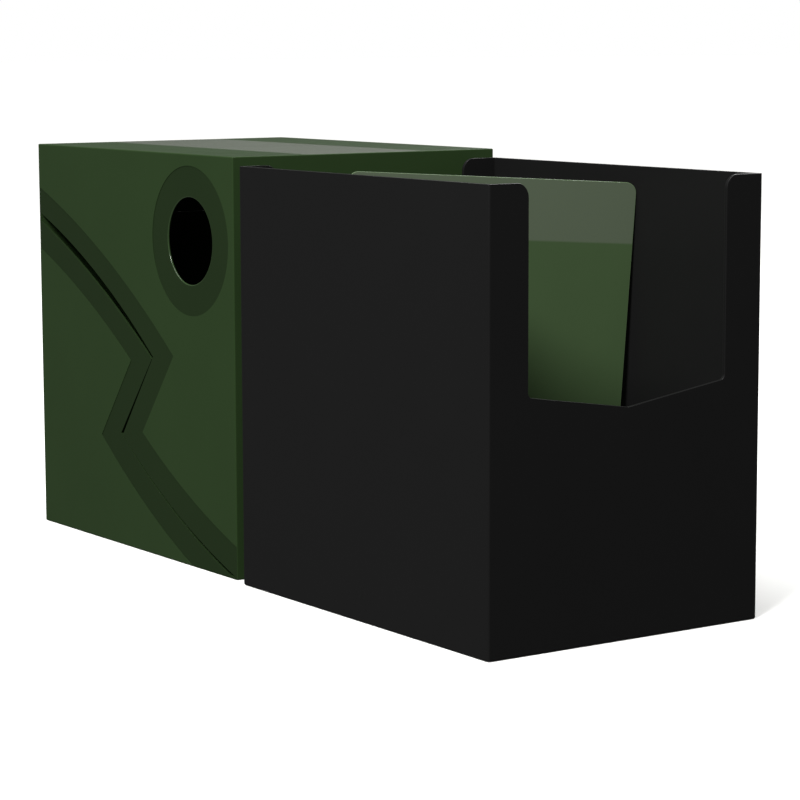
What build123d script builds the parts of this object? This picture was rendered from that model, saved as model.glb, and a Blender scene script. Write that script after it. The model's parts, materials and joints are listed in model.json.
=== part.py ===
"""Card deck box: an open-topped tray, the two-shell case that closes round it, and a card divider.

Frame: +X runs along the row from the case to the tray, +Y across the box, +Z up.
The origin lies under the middle of the whole row, on the surface that it stands on.
All sizes are in millimetres.
"""
import os
from math import asin, cos, degrees, radians, sin

from build123d import *

# Case, outside
case_length = 98.9
case_width = 75.2
case_height = 100.0
case_wall = 0.6
case_edge_radius = 0.3

# Slip fit of the tray in the closed case, on every side
slip_clearance = 0.35

# Tray, outside: what the case holds, less the slip fit
tray_length = case_length - 2 * (case_wall + slip_clearance)
tray_width = case_width - 2 * (case_wall + slip_clearance)
tray_height = case_height - 2 * (case_wall + slip_clearance)
tray_wall = 0.8
tray_edge_radius = 0.5

# Grip notches in the tray's two end walls
notch_side_strip = 10.1
notch_side_depth = 44.0
notch_middle_dip = 4.0
notch_top_radius = 3.0
notch_bottom_radius = 1.2

# Thumb holes in the case's two sides
thumb_hole_radius = 10.5
thumb_hole_from_front = 20.4
thumb_hole_from_top = 20.8

# Seam between the two shells, from the rear wall down to the front bottom edge
seam_rear_height = 80.9
seam_tooth_from_front = 39.6
seam_tooth_height = 49.2
seam_hook_from_front = 55.8
seam_hook_height = 28.4
seam_rear_rise = 2.5
seam_front_sag = 2.6
seam_rear_gap = 2.1
seam_rear_spread = 0.9
seam_tooth_gap_x = 0.72
seam_tooth_gap_z = 0.66
seam_hook_gap_x = 0.8
seam_hook_gap_z = -0.42
seam_foot_gap = 2.6

# Bottom: the lower shell's floor stops short of the front wall
front_joint_clearance = 0.15

# Rear wall: the shells meet there on a slope, with a narrow gap that shows no light
rear_joint_clearance = 0.15
rear_joint_slope = 0.5

# Shallow panel that borders the seam and the thumb holes
border_width = 7.5
border_depth = 0.1

# Divider: a card-size sheet, less than the tray's inside by a named room
divider_side_room = 2.7
divider_top_room = 3.6
divider_thickness = 0.5
divider_corner_radius = 2.5
divider_from_rear = 43.9
divider_from_middle = 0.4
divider_turn = 16.3
divider_lean = 1.6
divider_side_clearance = 0.15
divider_floor_clearance = 0.1
divider_width = tray_width - 2 * tray_wall - divider_side_room
divider_height = tray_height - tray_wall - divider_top_room

# How the tray stands beside the case
tray_gap = 5.4
tray_side_step = 2.45

# Places in the frame
row_length = case_length + tray_gap + tray_length
row_width = (case_width + tray_width) / 2 + tray_side_step
case_rear_x = -row_length / 2
case_front_x = case_rear_x + case_length
case_middle_x = (case_rear_x + case_front_x) / 2
case_middle_y = row_width / 2 - case_width / 2
tray_rear_x = case_front_x + tray_gap
tray_middle_x = tray_rear_x + tray_length / 2
tray_middle_y = -row_width / 2 + tray_width / 2

case_side_plane = Plane(origin=(0, case_middle_y, 0), x_dir=(1, 0, 0), z_dir=(0, -1, 0))
past = 5.0


def seam_points(side):
    """Tooth and hook of one shell's edge; side is 1 for the upper shell, -1 for the lower one."""
    tooth_x = case_front_x - seam_tooth_from_front + side * seam_tooth_gap_x / 2
    tooth_z = seam_tooth_height + side * seam_tooth_gap_z / 2
    hook_x = case_front_x - seam_hook_from_front + side * seam_hook_gap_x / 2
    hook_z = seam_hook_height + side * seam_hook_gap_z / 2
    return (tooth_x, tooth_z), (hook_x, hook_z)


def bowed(start, end, rise):
    """Middle point of an arc from start to end that stands rise above its chord."""
    chord_x = (start[0] + end[0]) / 2
    chord_z = (start[1] + end[1]) / 2
    return (chord_x, chord_z + rise)


def seam_line(side, foot):
    """Draw one shell's edge of the seam, from behind the rear wall to its foot at the front."""
    tooth, hook = seam_points(side)
    joint_height = seam_rear_height + side * rear_joint_clearance / 2
    inner_x = case_rear_x + case_wall
    outer = (case_rear_x - past, joint_height + rear_joint_slope * past)
    inner = (inner_x, joint_height - rear_joint_slope * case_wall)
    rear = (inner_x, seam_rear_height + side * seam_rear_gap / 2)
    Line(outer, inner)
    Line(inner, rear)
    ThreePointArc(rear, bowed(rear, tooth, seam_rear_rise + side * seam_rear_spread / 2), tooth)
    Line(tooth, hook)
    ThreePointArc(hook, bowed(hook, foot, -seam_front_sag), foot)
    return outer


def border_line():
    """Draw the middle of the border, from behind the rear wall to the front bottom edge."""
    tooth, hook = seam_points(0)
    rear = (case_rear_x, seam_rear_height)
    foot = (case_front_x, 0)
    Line((case_rear_x - past, seam_rear_height), rear)
    ThreePointArc(rear, bowed(rear, tooth, seam_rear_rise), tooth)
    Line(tooth, hook)
    ThreePointArc(hook, bowed(hook, foot, -seam_front_sag), foot)


def case_shell(name, side, foot, far_corners):
    """Build one shell: the hollow box on one side of the seam, with its sunk borders."""
    with BuildPart() as shell:
        with BuildSketch():
            with Locations((case_middle_x, case_middle_y)):
                Rectangle(case_length, case_width)
        extrude(amount=case_height)
        fillet(edges(), case_edge_radius)
        with BuildSketch(Plane.XY.offset(case_wall)):
            with Locations((case_middle_x, case_middle_y)):
                Rectangle(case_length - 2 * case_wall, case_width - 2 * case_wall)
        extrude(amount=case_height - 2 * case_wall, mode=Mode.SUBTRACT)
        with BuildSketch(case_side_plane):
            with Locations((case_front_x - thumb_hole_from_front, case_height - thumb_hole_from_top)):
                Circle(thumb_hole_radius)
        extrude(amount=case_width, both=True, mode=Mode.SUBTRACT)
        for face_side in (-1, 1):
            floor_plane = case_side_plane.offset(-face_side * (case_width / 2 - border_depth))
            with BuildSketch(floor_plane):
                with Locations((case_front_x - thumb_hole_from_front, case_height - thumb_hole_from_top)):
                    Circle(thumb_hole_radius + border_width)
            extrude(amount=-face_side * past, mode=Mode.SUBTRACT)
            with BuildSketch(floor_plane):
                with BuildLine():
                    border_line()
                    offset(amount=border_width, side=Side.BOTH, kind=Kind.INTERSECTION)
                make_face()
            extrude(amount=-face_side * past, mode=Mode.SUBTRACT)
        with BuildSketch(case_side_plane):
            with BuildLine():
                outer = seam_line(side, foot)
                Polyline(foot, *far_corners, outer)
            make_face()
        extrude(amount=case_width, both=True, mode=Mode.INTERSECT)
    shell.part.label = name
    export_step(shell.part, f"parts/{name}.step")
    return shell


def notch_corners():
    """Corners of one grip notch, open at the top, measured across from the tray's middle."""
    half = tray_width / 2 - notch_side_strip
    shoulder = tray_height - notch_side_depth
    dip = shoulder - notch_middle_dip
    open_top = tray_height + past
    return [(half, open_top), (half, shoulder), (0, dip), (-half, shoulder), (-half, open_top)]


os.makedirs("parts", exist_ok=True)

# Upper shell: top, front wall, the sides in front of the seam, and a strip of the rear wall
upper_shell = case_shell(
    "upper_shell",
    side=1,
    foot=(case_front_x - case_wall, case_wall),
    far_corners=[
        (case_front_x - case_wall, -past),
        (case_front_x + past, -past),
        (case_front_x + past, case_height + past),
        (case_rear_x - past, case_height + past),
    ],
)

# Lower shell: bottom, rear wall and the sides behind the seam
lower_shell = case_shell(
    "lower_shell",
    side=-1,
    foot=(case_front_x - case_wall - seam_foot_gap, case_wall),
    far_corners=[
        (case_front_x - case_wall - front_joint_clearance, case_wall),
        (case_front_x - case_wall - front_joint_clearance, -past),
        (case_rear_x - past, -past),
    ],
)

# Tray: floor and four walls, with a grip notch in each end wall
with BuildPart() as tray:
    with BuildSketch():
        with Locations((tray_middle_x, tray_middle_y)):
            Rectangle(tray_length, tray_width)
    extrude(amount=tray_height)
    fillet(edges().filter_by(Axis.Z) + edges().group_by(Axis.Z)[0], tray_edge_radius)
    with BuildSketch(Plane.XY.offset(tray_wall)):
        with Locations((tray_middle_x, tray_middle_y)):
            Rectangle(tray_length - 2 * tray_wall, tray_width - 2 * tray_wall)
    extrude(amount=tray_height, mode=Mode.SUBTRACT)
    notch_plane = Plane(origin=(tray_rear_x, tray_middle_y, 0), x_dir=(0, 1, 0), z_dir=(1, 0, 0))
    with BuildSketch(notch_plane.offset(-past)):
        with BuildLine():
            Polyline(*notch_corners(), close=True)
        make_face()
    extrude(amount=tray_length + 2 * past, mode=Mode.SUBTRACT)
    notch_edges = edges().filter_by(Axis.X).filter_by(lambda edge: edge.length < 2 * tray_wall)
    _, shoulder_corners, rim_corners = notch_edges.group_by(Axis.Z)
    fillet(rim_corners, notch_top_radius)
    fillet(shoulder_corners, notch_bottom_radius)
tray.part.label = "tray"
export_step(tray.part, "parts/tray.step")

# Divider: a loose sheet with rounded corners, standing on one lower corner.
# It tilts until its edges come near the tray's two side walls.
turned_room = tray_width - 2 * (tray_wall + divider_side_clearance)
turned_room = turned_room / cos(radians(divider_turn)) - divider_width
divider_tilt = degrees(asin(turned_room / divider_height))
width_dir = Vector(0, 1, 0).rotate(Axis.X, -divider_tilt)
width_dir = width_dir.rotate(Axis.Y, divider_lean).rotate(Axis.Z, -divider_turn)
face_dir = Vector(1, 0, 0).rotate(Axis.Y, divider_lean).rotate(Axis.Z, -divider_turn)
corner_inset_y = divider_height / 2 - divider_corner_radius
corner_inset_x = divider_width / 2 - divider_corner_radius
corner_reach = corner_inset_y * cos(radians(divider_tilt)) + corner_inset_x * sin(radians(divider_tilt))
divider_middle_z = tray_wall + divider_floor_clearance + divider_corner_radius + corner_reach
divider_plane = Plane(
    origin=(tray_rear_x + divider_from_rear, tray_middle_y + divider_from_middle, divider_middle_z),
    x_dir=width_dir,
    z_dir=face_dir,
)
with BuildPart() as divider:
    with BuildSketch(divider_plane):
        RectangleRounded(divider_width, divider_height, divider_corner_radius)
    extrude(amount=divider_thickness / 2, both=True)
divider.part.label = "divider"
export_step(divider.part, "parts/divider.step")
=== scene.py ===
import json
from math import cos, radians, sin

import bmesh
import bpy
from bpy.props import FloatProperty, FloatVectorProperty, PointerProperty
from mathutils import Matrix, Vector


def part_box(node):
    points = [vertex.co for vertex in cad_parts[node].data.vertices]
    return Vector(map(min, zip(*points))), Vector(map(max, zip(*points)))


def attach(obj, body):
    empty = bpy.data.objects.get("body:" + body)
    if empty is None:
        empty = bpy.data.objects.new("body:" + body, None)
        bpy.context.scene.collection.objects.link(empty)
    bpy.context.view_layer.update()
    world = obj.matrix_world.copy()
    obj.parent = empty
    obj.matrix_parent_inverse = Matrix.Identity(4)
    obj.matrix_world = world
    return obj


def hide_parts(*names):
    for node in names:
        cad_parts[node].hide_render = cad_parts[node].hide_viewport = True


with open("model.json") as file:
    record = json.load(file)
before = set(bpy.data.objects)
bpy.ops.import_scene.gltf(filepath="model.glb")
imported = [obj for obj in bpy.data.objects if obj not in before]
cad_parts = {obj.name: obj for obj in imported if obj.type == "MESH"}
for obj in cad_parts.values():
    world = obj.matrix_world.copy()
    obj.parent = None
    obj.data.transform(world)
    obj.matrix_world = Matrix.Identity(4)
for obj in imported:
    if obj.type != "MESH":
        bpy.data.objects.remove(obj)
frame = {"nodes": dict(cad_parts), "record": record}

bl_info = {
    "name": "Card deck box",
    "version": (1, 0, 0),
    "blender": (4, 5, 0),
    "location": "3D View > Sidebar > Deck box",
    "description": "A two-shell case, an open card tray and a divider, with their finishes and a plain studio",
    "category": "Object",
}

MM = 0.001
SAME_PLACE = 0.02 * MM   # places closer than this are taken as one


def linear(hex_colour):
    """An sRGB hex colour as linear red, green and blue."""
    channels = [int(hex_colour[i:i + 2], 16) / 255 for i in (1, 3, 5)]
    return tuple(c / 12.92 if c <= 0.04045 else ((c + 0.055) / 1.055) ** 2.4 for c in channels)


def colour_prop(name, description, hex_colour):
    return FloatVectorProperty(
        name=name, description=description, default=linear(hex_colour),
        subtype="COLOR", size=3, min=0.0, max=1.0,
    )


def length_prop(name, description, millimetres):
    return FloatProperty(
        name=name, description=description, default=millimetres * MM,
        min=0.0, unit="LENGTH", subtype="DISTANCE", precision=5,
    )


# ---------------------------------------------------------------- sizes and colours

class DeckCaseSettings(bpy.types.PropertyGroup):
    """Finish of the two shells of the case."""
    colour: colour_prop("Case green", "Dark green of the moulded shells", "#293b20")
    # The border green also goes on the cut faces and roundings along the seam, as painted shade in the seam's
    # gap
    border_and_seam_shade_colour: colour_prop("Border green", "Duller green of the sunk border", "#1f2d18")
    # The paler green of the rim roundings is partly painted highlight, where the rims catch the light
    cut_edge_and_highlight_colour: colour_prop("Cut edge", "Paler green of the broken edges", "#2f4126")
    edge_break: length_prop("Edge break", "Width of the rounding along the seam", 0.1)
    hole_radius: length_prop("Hole radius", "Radius of the thumb holes", 10.5)
    rim_break: length_prop("Rim break", "Width of the rounding round the thumb holes", 0.2)
    border_depth: length_prop("Border depth", "How far the border lies below the side walls", 0.1)
    # The band's paler green is painted reflection of the bright room along the top; the band is also given a
    # rougher finish
    reflection_band_colour: colour_prop("Frosted band", "Pale green of the painted reflection band along the top", "#4d5249")
    reflection_band_width: length_prop("Band width", "Width of the painted reflection band along the middle of the top", 33.0)


class DeckTraySettings(bpy.types.PropertyGroup):
    """Finish of the open tray."""
    colour: colour_prop("Tray black", "Near-black of the moulded tray", "#171717")
    # The slightly paler black of the roundings is partly painted highlight along the rim and the notches
    cut_edge_and_highlight_colour: colour_prop("Rim", "Slightly paler black of the broken edges", "#1a1a1a")
    edge_break: length_prop("Edge break", "Width of the rounding along the rim and the notches", 0.1)


class DeckDividerSettings(bpy.types.PropertyGroup):
    """Finish of the loose divider."""
    colour: colour_prop("Sheet green", "Green of the divider sheet", "#3f5235")
    frost_colour: colour_prop("Frosted strip", "Pale green of the frosted strip along the top", "#525d4b")
    # The paler green of the edge rounding is partly painted highlight along the sheet's edge
    cut_edge_and_highlight_colour: colour_prop("Cut edge", "Paler green of the die-cut edge", "#5a6e4e")
    strip_height: length_prop("Strip height", "Height of the frosted strip, from the top edge", 14.0)
    edge_break: length_prop("Edge break", "Width of the rounding along the sheet's edge", 0.1)


class DeckStageSettings(bpy.types.PropertyGroup):
    """Floor, lights and camera."""
    floor_colour: colour_prop("Floor", "Pale, plain floor", "#f4f4f2")
    floor_size: length_prop("Floor size", "Side of the square floor", 24000.0)
    key_power: FloatProperty(name="Near light", description="Power of the soft light on the near side",
                             default=10.0, min=0.0, unit="POWER")
    rear_power: FloatProperty(name="Rear light", description="Power of the soft light behind",
                              default=5.0, min=0.0, unit="POWER")
    sun_strength: FloatProperty(name="Overhead light", description="Strength of the broad light overhead",
                                default=3.3, min=0.0)
    sky: FloatProperty(name="Room light", description="Strength of the even light of the room",
                       default=0.13, min=0.0)


# ---------------------------------------------------------------- mesh tools

def copied_mesh(node, name):
    """A merged copy of a CAD node's mesh, with flat faces joined into single polygons."""
    mesh = bpy.data.meshes.new(name)
    piece = bpy.data.objects.new(name, mesh)
    bpy.context.scene.collection.objects.link(piece)
    shape = bmesh.new()
    shape.from_mesh(frame["nodes"][node].data)
    bmesh.ops.remove_doubles(shape, verts=shape.verts, dist=0.002 * MM)
    bmesh.ops.dissolve_limit(
        shape, angle_limit=radians(0.5), verts=shape.verts, edges=shape.edges, delimit={"NORMAL"},
    )
    return piece, shape


def sharp_edges(shape, least=50.0):
    """The outward corners of a shape that turn by more than least degrees."""
    return [e for e in shape.edges if e.is_manifold and e.calc_face_angle_signed() > radians(least)]


def finish_mesh(piece, shape, smooth=35.0):
    """Writes the shape back and shades it smooth, with the corners above smooth degrees kept crisp."""
    for face in shape.faces:
        face.smooth = True
    for edge in shape.edges:
        edge.smooth = not edge.is_manifold or edge.calc_face_angle(0.0) < radians(smooth)
    shape.to_mesh(piece.data)
    shape.free()
    weighted = piece.modifiers.new("Weighted normals", "WEIGHTED_NORMAL")
    weighted.keep_sharp = True
    weighted.weight = 100


def break_edges(shape, edges, width, segments, material):
    """Rounds these edges over the given width, and gives the rounding a material of its own."""
    bmesh.ops.bevel(
        shape, geom=edges, offset=width, offset_type="OFFSET",
        segments=segments, profile=0.5, affect="EDGES", clamp_overlap=True, material=material,
    )


def read_afresh(shape, piece):
    """Writes the shape out and reads it back.

    Without this between two roundings, the triangles come in a different order each run.
    """
    shape.to_mesh(piece.data)
    shape.clear()
    shape.from_mesh(piece.data)


def in_border_or_shaded_cut(face, low, high, depth):
    """Whether a shell's face takes the border's green: its sunk floor, or a cut face across the wall along the
    seam and round the thumb holes, where the darker green is painted shade.
    """
    wall = 1.5 * MM
    margin = 1 * MM
    centre = face.calc_center_median()
    near = low.y + depth
    far = high.y - depth
    sunk = abs(face.normal.y) > 0.99 and min(abs(centre.y - near), abs(centre.y - far)) < SAME_PLACE
    # Cut faces across the wall take the darker green as painted shade in the seam's gap and in the holes
    across_wall = abs(face.normal.y) < 0.3 and (centre.y < near + wall or centre.y > far - wall)
    off_corners = (
        low.x + margin < centre.x < high.x - margin
        and low.z + margin < centre.z < high.z - margin
    )
    return sunk or (across_wall and off_corners)


def flat_top(shape, level):
    """The faces of a shape that lie flat at this level and face up."""
    return [
        f for f in shape.faces
        if f.normal.z > 0.99 and abs(f.calc_center_median().z - level) < SAME_PLACE
    ]


def top_band(shape, level, middle, width):
    """Cuts a band of the given width along the flat top at this level, and returns its faces."""
    for line in (middle - width / 2, middle + width / 2):
        top = flat_top(shape, level)
        # Each edge and corner once
        edges = list(dict.fromkeys(edge for face in top for edge in face.edges))
        verts = list(dict.fromkeys(vert for edge in edges for vert in edge.verts))
        bmesh.ops.bisect_plane(
            shape, geom=[*top, *edges, *verts], plane_co=(0.0, line, 0.0), plane_no=(0.0, 1.0, 0.0),
        )
    return [f for f in flat_top(shape, level) if abs(f.calc_center_median().y - middle) < width / 2]


def hole_middle():
    """Where the near thumb hole's axis crosses the side wall, along X and up Z."""
    openings = frame["record"]["physics"]["openings"]
    corner, opposite = next(o for o in openings if o["name"] == "thumb_hole_near")["box_m"]
    return (corner[0] + opposite[0]) / 2, (corner[2] + opposite[2]) / 2


def on_rim(edge, middle, radius):
    """Whether an edge lies on the rim of a thumb hole."""
    near_enough = 0.05 * MM
    return all(
        abs(((vert.co.x - middle[0]) ** 2 + (vert.co.z - middle[1]) ** 2) ** 0.5 - radius) < near_enough
        for vert in edge.verts
    )


# ---------------------------------------------------------------- materials

def add_node(tree, kind, links=None, **settings):
    """Adds a node, sets its properties and its inputs; an input given a socket is linked to it."""
    node = tree.nodes.new(kind)
    for name, value in settings.items():
        setattr(node, name, value)
    for name, value in (links or {}).items():
        if isinstance(value, bpy.types.NodeSocket):
            tree.links.new(value, node.inputs[name])
        else:
            node.inputs[name].default_value = value
    return node


def moulded_polypropylene(name, colour, roughness, specular, mottle=0.08, grain=0.6, grain_depth=0.012):
    """Injection-moulded polypropylene: a soft satin gloss, a faint mottle and a fine spark-eroded grain.

    The real grain is about 0.1 mm across, too fine to show, so it is drawn grain millimetres across.
    """
    material = bpy.data.materials.new(name)
    material.use_nodes = True
    tree = material.node_tree
    tree.nodes.clear()
    place = add_node(tree, "ShaderNodeTexCoord").outputs["Object"]
    # The melt cooled unevenly, which left a faint mottle
    mottle_span = 25 * MM
    cloud = add_node(tree, "ShaderNodeTexNoise", {"Vector": place, "Scale": 1 / mottle_span, "Detail": 3.0})
    darker = [c * (1 - mottle) for c in colour] + [1.0]
    paler = [min(1.0, c * (1 + mottle)) for c in colour] + [1.0]
    shade = add_node(tree, "ShaderNodeMix", {"Factor": cloud.outputs["Fac"], "A": darker, "B": paler},
                     data_type="RGBA")
    # Handling leaves the gloss a little uneven, in patches
    patch_span = 12 * MM
    smudge = add_node(tree, "ShaderNodeTexNoise", {"Vector": place, "Scale": 1 / patch_span, "Detail": 5.0})
    gloss = add_node(tree, "ShaderNodeMapRange", {
        "Value": smudge.outputs["Fac"], "From Min": 0.3, "From Max": 0.7,
        "To Min": roughness - 0.04, "To Max": roughness + 0.05,
    })
    pits = add_node(tree, "ShaderNodeTexNoise", {"Vector": place, "Scale": 1 / (grain * MM), "Detail": 2.0})
    relief = add_node(tree, "ShaderNodeBump", {
        "Height": pits.outputs["Fac"], "Strength": 0.5, "Distance": grain_depth * MM,
    })
    shader = add_node(tree, "ShaderNodeBsdfPrincipled", {
        "Base Color": shade.outputs["Result"], "Roughness": gloss.outputs["Result"],
        "Normal": relief.outputs["Normal"], "Specular IOR Level": specular, "IOR": 1.49,
    })
    add_node(tree, "ShaderNodeOutputMaterial", {"Surface": shader.outputs["BSDF"]})
    return material


def frosted_sheet(name, colour, frost_colour, strip_height):
    """Extruded polypropylene sheet: satin, with a paler frosted strip along its top for writing on.

    The strip follows the sheet's own map, which runs down from the top edge in metres.
    """
    material = moulded_polypropylene(name, colour, 0.4, 0.12)
    tree = material.node_tree
    shader = next(node for node in tree.nodes if node.type == "BSDF_PRINCIPLED")
    plain = shader.inputs["Base Color"].links[0].from_socket
    gloss = shader.inputs["Roughness"].links[0].from_socket
    down = add_node(tree, "ShaderNodeSeparateXYZ", {
        "Vector": add_node(tree, "ShaderNodeUVMap", uv_map="sheet").outputs["UV"],
    }).outputs["Y"]
    soft_edge = 0.3 * MM
    frosted = add_node(tree, "ShaderNodeMapRange", {
        "Value": down, "From Min": strip_height - soft_edge, "From Max": strip_height + soft_edge,
        "To Min": 1.0, "To Max": 0.0,
    }, interpolation_type="SMOOTHSTEP").outputs["Result"]
    tint = add_node(tree, "ShaderNodeMix", {
        "Factor": frosted, "A": plain, "B": list(frost_colour) + [1.0],
    }, data_type="RGBA")
    tree.links.new(tint.outputs["Result"], shader.inputs["Base Color"])
    # Frosting scatters the light, so the strip is rougher than the sheet
    extra_roughness = 0.25
    matt = add_node(tree, "ShaderNodeMath", {0: frosted, 1: extra_roughness}, operation="MULTIPLY")
    rough = add_node(tree, "ShaderNodeMath", {0: gloss, 1: matt.outputs["Value"]}, operation="ADD")
    tree.links.new(rough.outputs["Value"], shader.inputs["Roughness"])
    return material


def map_sheet(shape):
    """Gives a flat sheet a map that runs across it and down from its top edge, in metres."""
    largest = max(shape.faces, key=lambda face: face.calc_area())
    longest = max(largest.edges, key=lambda edge: edge.calc_length())
    up = (longest.verts[0].co - longest.verts[1].co).normalized()
    up = up if up.z > 0 else -up
    across = up.cross(largest.normal)
    top = max(up.dot(vert.co) for vert in shape.verts)
    layer = shape.loops.layers.uv.new("sheet")
    for face in shape.faces:
        for loop in face.loops:
            loop[layer].uv = (across.dot(loop.vert.co), top - up.dot(loop.vert.co))


# ---------------------------------------------------------------- pieces

class DECK_OT_shells(bpy.types.Operator):
    """Make the two shells of the case, with broken edges, a duller sunk border, painted shade along the seam
    and a band of painted reflection along the top
    """
    bl_idname = "deck.shells"
    bl_label = "Shells"

    def execute(self, context):
        look = context.scene.deck_case
        body = moulded_polypropylene("Moulded polypropylene, dark green", look.colour, 0.34, 0.1)
        # Darker green of the etched border, also used as painted shade on the cut faces along the seam
        border = moulded_polypropylene("Moulded polypropylene, etched border and painted seam shade", look.border_and_seam_shade_colour, 0.4, 0.08,
                                       grain=0.5, grain_depth=0.02)
        # Paler, glossier green round the thumb holes: the paler tone is partly painted highlight
        edge = moulded_polypropylene("Moulded polypropylene, broken edge", look.cut_edge_and_highlight_colour, 0.14, 0.5,
                                     grain_depth=0.004)
        # Paler, rougher green along the top: the paler tone is painted reflection
        painted_reflection = moulded_polypropylene("Moulded polypropylene, painted reflection band", look.reflection_band_colour, 0.62, 0.1)
        low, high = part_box("upper_shell")
        middle = hole_middle()
        for node in ("upper_shell", "lower_shell"):
            piece, shape = copied_mesh(node, node + "_moulded")
            for material in (body, border, edge, painted_reflection):
                piece.data.materials.append(material)
            for face in shape.faces:
                face.material_index = int(in_border_or_shaded_cut(face, low, high, look.border_depth))
            # The band along the middle of the top takes the painted reflection
            for face in top_band(shape, high.z, (low.y + high.y) / 2, look.reflection_band_width):
                face.material_index = 3
            seams = [e for e in sharp_edges(shape) if not on_rim(e, middle, look.hole_radius)]
            # The seam's roundings take the darker border green: painted shade along the gap
            break_edges(shape, seams, look.edge_break, segments=2, material=1)
            read_afresh(shape, piece)
            rims = [e for e in sharp_edges(shape) if on_rim(e, middle, look.hole_radius)]
            break_edges(shape, rims, look.rim_break, segments=4, material=2)
            finish_mesh(piece, shape)
            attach(piece, node + "_body")
            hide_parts(node)
        return {"FINISHED"}


class DECK_OT_tray(bpy.types.Operator):
    """Make the open tray, with a broken rim round its walls and grip notches"""
    bl_idname = "deck.tray"
    bl_label = "Tray"

    def execute(self, context):
        look = context.scene.deck_tray
        body = moulded_polypropylene("Moulded polypropylene, black", look.colour, 0.36, 0.1, mottle=0.05)
        # Slightly paler black on the roundings: partly painted highlight along the rim and the notches
        edge = moulded_polypropylene("Moulded polypropylene, black rim", look.cut_edge_and_highlight_colour, 0.3, 0.3)
        piece, shape = copied_mesh("tray", "tray_moulded")
        piece.data.materials.append(body)
        piece.data.materials.append(edge)
        break_edges(shape, sharp_edges(shape), look.edge_break, segments=2, material=1)
        finish_mesh(piece, shape)
        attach(piece, "tray_body")
        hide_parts("tray")
        return {"FINISHED"}


class DECK_OT_divider(bpy.types.Operator):
    """Make the loose divider, with a frosted strip along its top"""
    bl_idname = "deck.divider"
    bl_label = "Divider"

    def execute(self, context):
        look = context.scene.deck_divider
        body = frosted_sheet("Extruded polypropylene sheet, green", look.colour, look.frost_colour,
                             look.strip_height)
        # Paler green on the edge rounding: partly painted highlight along the sheet's edge
        edge = moulded_polypropylene("Extruded polypropylene sheet, cut edge", look.cut_edge_and_highlight_colour, 0.35, 0.3)
        piece, shape = copied_mesh("divider", "divider_sheet")
        piece.data.materials.append(body)
        piece.data.materials.append(edge)
        break_edges(shape, sharp_edges(shape), look.edge_break, segments=2, material=1)
        map_sheet(shape)
        finish_mesh(piece, shape)
        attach(piece, "divider_body")
        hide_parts("divider")
        return {"FINISHED"}


# ---------------------------------------------------------------- stage

LIT_POINT = Vector((0.0, 0.0, 60 * MM))   # where the soft lights aim
CAMERA_PLACE = Vector((535.65, -358.49, 127.54)) * MM
CAMERA_HEADING = radians(34.2775)
CAMERA_DROP = radians(7.6924)
CAMERA_ROLL = radians(-0.1902)


def lay_floor(look):
    """A plain square floor, just below the surface that the object stands on."""
    half = look.floor_size / 2
    level = -0.05 * MM
    mesh = bpy.data.meshes.new("floor")
    mesh.from_pydata(
        [(-half, -half, level), (half, -half, level), (half, half, level), (-half, half, level)],
        [], [(0, 1, 2, 3)],
    )
    floor = bpy.data.objects.new("floor", mesh)
    bpy.context.scene.collection.objects.link(floor)
    paint = bpy.data.materials.new("Matt studio floor paint")
    paint.use_nodes = True
    tree = paint.node_tree
    tree.nodes.clear()
    shader = add_node(tree, "ShaderNodeBsdfPrincipled", {
        "Base Color": list(look.floor_colour) + [1.0], "Roughness": 0.9, "Specular IOR Level": 0.1,
    })
    add_node(tree, "ShaderNodeOutputMaterial", {"Surface": shader.outputs["BSDF"]})
    mesh.materials.append(paint)
    # The floor neither lights the object nor is mirrored in it
    floor.visible_glossy = False
    floor.visible_diffuse = False


def hang_light(name, kind, energy, direction, place=(0.0, 0.0, 0.0)):
    """Hangs a light at a place, facing a direction, and returns its lamp."""
    lamp = bpy.data.lights.new(name, kind)
    lamp.energy = energy
    light = bpy.data.objects.new(name, lamp)
    light.location = place
    light.rotation_euler = direction.to_track_quat("-Z", "Y").to_euler()
    bpy.context.scene.collection.objects.link(light)
    return lamp


def hang_soft_light(name, energy, side, place):
    """Hangs a square soft light that aims at the object."""
    lamp = hang_light(name, "AREA", energy, LIT_POINT - Vector(place), place)
    lamp.shape = "SQUARE"
    lamp.size = side


def light_room(look):
    """A room that looks white behind the object, but lights it gently."""
    room = bpy.data.worlds.new("studio room")
    room.use_nodes = True
    tree = room.node_tree
    tree.nodes.clear()
    seen = add_node(tree, "ShaderNodeLightPath").outputs["Is Camera Ray"]
    strength = add_node(tree, "ShaderNodeMapRange", {"Value": seen, "To Min": look.sky, "To Max": 1.0})
    glow = add_node(tree, "ShaderNodeBackground", {
        "Color": (1.0, 1.0, 1.0, 1.0), "Strength": strength.outputs["Result"],
    })
    add_node(tree, "ShaderNodeOutputWorld", {"Surface": glow.outputs["Background"]})
    bpy.context.scene.world = room
    bpy.context.scene.view_settings.view_transform = "Standard"


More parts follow.
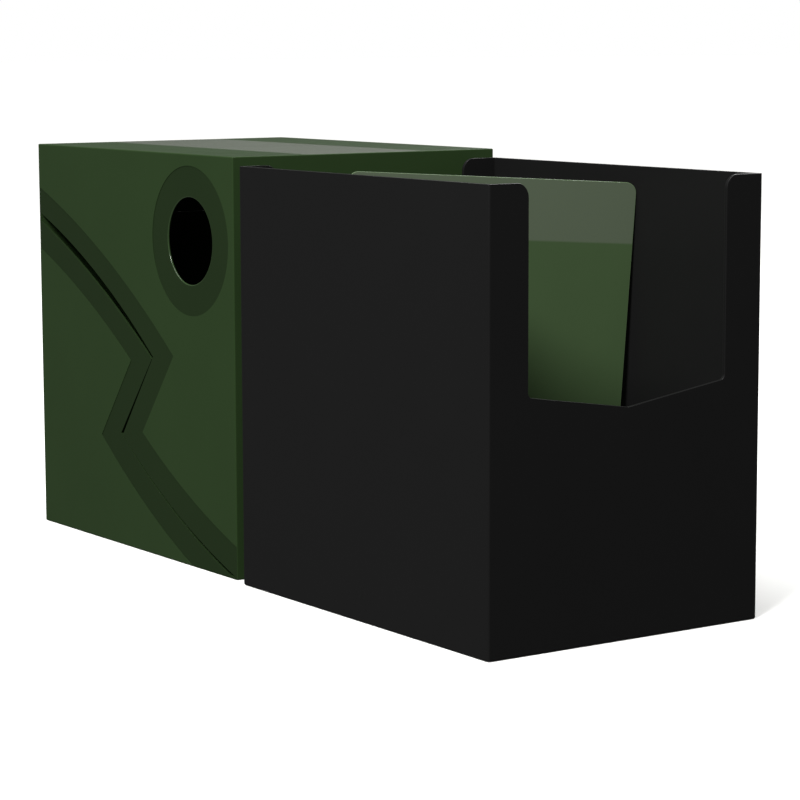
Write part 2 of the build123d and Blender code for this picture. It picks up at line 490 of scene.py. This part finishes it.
def set_camera():
    """A long lens off the tray's front near corner, looking slightly down across the top of the case."""
    forward = Vector((
        -cos(CAMERA_HEADING) * cos(CAMERA_DROP), sin(CAMERA_HEADING) * cos(CAMERA_DROP), -sin(CAMERA_DROP),
    ))
    right = forward.cross(Vector((0, 0, 1))).normalized()
    upward = right.cross(forward)
    side = cos(CAMERA_ROLL) * right + sin(CAMERA_ROLL) * upward
    top = -sin(CAMERA_ROLL) * right + cos(CAMERA_ROLL) * upward
    lens = bpy.data.cameras.new("camera")
    lens.lens = 120.93
    lens.sensor_width = 36.0
    lens.shift_x = 0.0098
    lens.shift_y = -0.0005
    camera = bpy.data.objects.new("camera", lens)
    turn = Matrix((side, top, -forward)).transposed().to_4x4()
    camera.matrix_world = Matrix.Translation(CAMERA_PLACE) @ turn
    bpy.context.scene.collection.objects.link(camera)
    bpy.context.scene.camera = camera


class DECK_OT_stage(bpy.types.Operator):
    """Make the floor, the lights, the room and the camera"""
    bl_idname = "deck.stage"
    bl_label = "Stage"

    def execute(self, context):
        look = context.scene.deck_stage
        lay_floor(look)
        overhead = hang_light("overhead light", "SUN", look.sun_strength, Vector((0.0, 0.12, -0.99)))
        overhead.angle = radians(50)
        hang_soft_light("near light", look.key_power, side=0.22, place=(0.40, -0.62, 0.62))
        hang_soft_light("rear light", look.rear_power, side=0.6, place=(-0.55, 0.85, 0.70))
        light_room(look)
        set_camera()
        return {"FINISHED"}


# ---------------------------------------------------------------- add-on

class DECK_PT_panel(bpy.types.Panel):
    """Sizes, colours and makers of the deck box"""
    bl_idname = "DECK_PT_panel"
    bl_label = "Deck box"
    bl_space_type = "VIEW_3D"
    bl_region_type = "UI"
    bl_category = "Deck box"

    def draw(self, context):
        for group, _, maker in GROUPS:
            settings = getattr(context.scene, group)
            box = self.layout.box()
            for prop in settings.__annotations__:
                box.prop(settings, prop)
            box.operator(maker.bl_idname)


GROUPS = (
    ("deck_case", DeckCaseSettings, DECK_OT_shells),
    ("deck_tray", DeckTraySettings, DECK_OT_tray),
    ("deck_divider", DeckDividerSettings, DECK_OT_divider),
    ("deck_stage", DeckStageSettings, DECK_OT_stage),
)


def register():
    for group, settings, maker in GROUPS:
        bpy.utils.register_class(settings)
        bpy.utils.register_class(maker)
        setattr(bpy.types.Scene, group, PointerProperty(type=settings))
    bpy.utils.register_class(DECK_PT_panel)


def unregister():
    bpy.utils.unregister_class(DECK_PT_panel)
    for group, settings, maker in reversed(GROUPS):
        delattr(bpy.types.Scene, group)
        bpy.utils.unregister_class(maker)
        bpy.utils.unregister_class(settings)


def main():
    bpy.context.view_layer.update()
    register()
    bpy.ops.deck.shells()
    bpy.ops.deck.tray()
    bpy.ops.deck.divider()
    bpy.ops.deck.stage()


if __name__ == "__main__":
    main()
